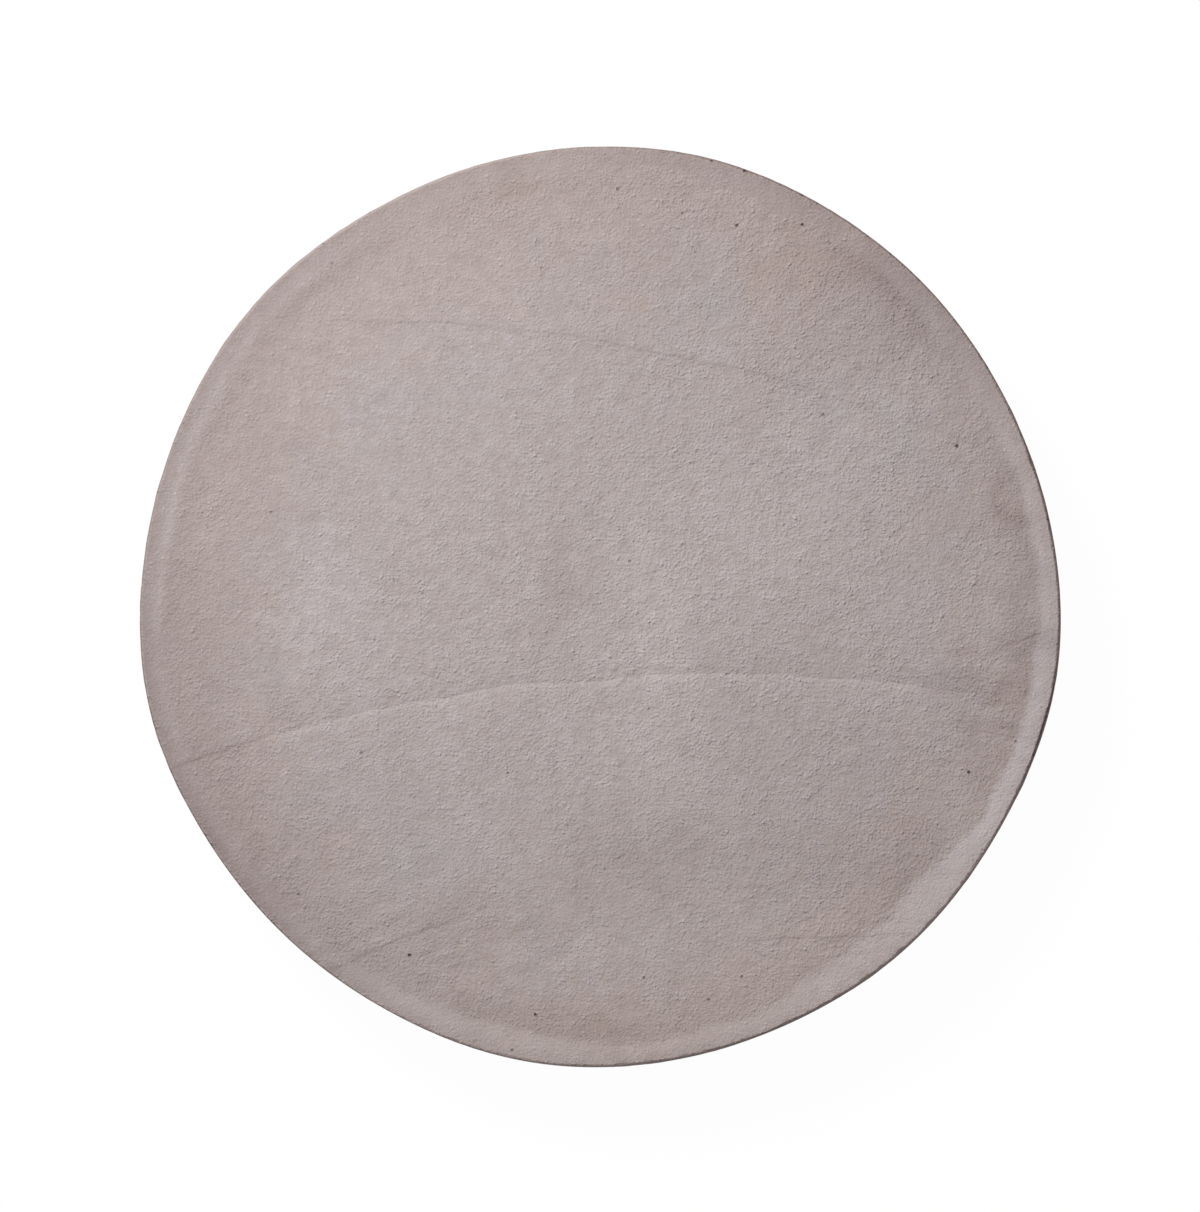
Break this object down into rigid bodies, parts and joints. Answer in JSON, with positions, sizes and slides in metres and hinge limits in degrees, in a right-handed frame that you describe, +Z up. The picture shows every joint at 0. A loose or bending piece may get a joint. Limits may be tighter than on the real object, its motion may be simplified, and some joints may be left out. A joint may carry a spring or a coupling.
{
  "type": "garden stepping stone",
  "caption": "Round cast concrete stepping stone with a hand-formed outline, a leaning wall with rounded arrises, and a low edge band round its flat walking face.",
  "frame": {"origin": "on the bed face, under the middle of the stone's overall outline", "axes": "+Z up, from the bed face to the walking face; +Y towards the top of the picture and +X to its right"},
  "size_m": [0.4, 0.4, 0.04],
  "materials": {
    "cast_concrete": "matte"
  },
  "bodies": {
    "root": {"stepping_stone": "cast_concrete"}
  },
  "joints": []
}
